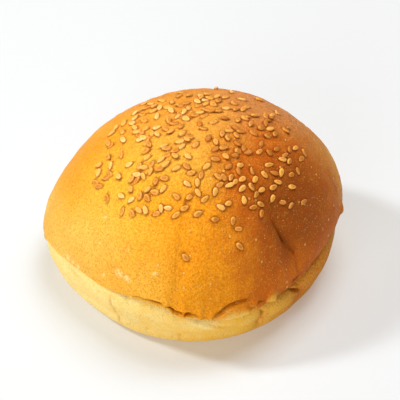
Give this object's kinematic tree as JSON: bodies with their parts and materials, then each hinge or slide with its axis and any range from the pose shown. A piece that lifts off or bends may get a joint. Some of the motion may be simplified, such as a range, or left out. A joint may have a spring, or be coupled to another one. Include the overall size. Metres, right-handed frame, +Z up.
{
  "type": "seeded bread roll",
  "caption": "Round soft bread roll with a domed glazed crust, a pale band at its foot, a flat underside and sesame seeds on top.",
  "frame": {"origin": "middle of the footprint of the roll's bounding box, on the flat underside it stands on", "axes": "+Z up from the flat underside towards the crown, -Y towards the front, where the crust reaches furthest from the middle, +X to the right as seen from the front"},
  "size_m": [0.1154, 0.1138, 0.0689],
  "materials": {
    "crust": "satin",
    "sesame": "satin"
  },
  "bodies": {
    "root": {"bun": "crust", "sesame_seed_01": "sesame", "sesame_seed_02": "sesame", "sesame_seed_03": "sesame", "sesame_seed_04": "sesame", "sesame_seed_05": "sesame", "sesame_seed_06": "sesame", "sesame_seed_07": "sesame", "sesame_seed_08": "sesame", "sesame_seed_09": "sesame", "sesame_seed_10": "sesame", "sesame_seed_11": "sesame", "sesame_seed_12": "sesame", "sesame_seed_13": "sesame", "sesame_seed_14": "sesame", "sesame_seed_15": "sesame", "sesame_seed_16": "sesame", "sesame_seed_17": "sesame", "sesame_seed_18": "sesame", "sesame_seed_19": "sesame", "sesame_seed_20": "sesame", "sesame_seed_21": "sesame", "sesame_seed_22": "sesame", "sesame_seed_23": "sesame", "sesame_seed_24": "sesame", "sesame_seed_25": "sesame", "sesame_seed_26": "sesame", "sesame_seed_27": "sesame", "sesame_seed_28": "sesame", "sesame_seed_29": "sesame", "sesame_seed_30": "sesame", "sesame_seed_31": "sesame", "sesame_seed_32": "sesame", "sesame_seed_33": "sesame", "sesame_seed_34": "sesame", "sesame_seed_35": "sesame", "sesame_seed_36": "sesame", "sesame_seed_37": "sesame", "sesame_seed_38": "sesame", "sesame_seed_39": "sesame", "sesame_seed_40": "sesame", "sesame_seed_41": "sesame", "sesame_seed_42": "sesame", "sesame_seed_43": "sesame", "sesame_seed_44": "sesame", "sesame_seed_45": "sesame", "sesame_seed_46": "sesame", "sesame_seed_47": "sesame", "sesame_seed_48": "sesame", "sesame_seed_49": "sesame", "sesame_seed_50": "sesame", "sesame_seed_51": "sesame", "sesame_seed_52": "sesame", "sesame_seed_53": "sesame", "sesame_seed_54": "sesame", "sesame_seed_55": "sesame", "sesame_seed_56": "sesame", "sesame_seed_57": "sesame", "sesame_seed_58": "sesame", "sesame_seed_59": "sesame"}
  },
  "joints": []
}
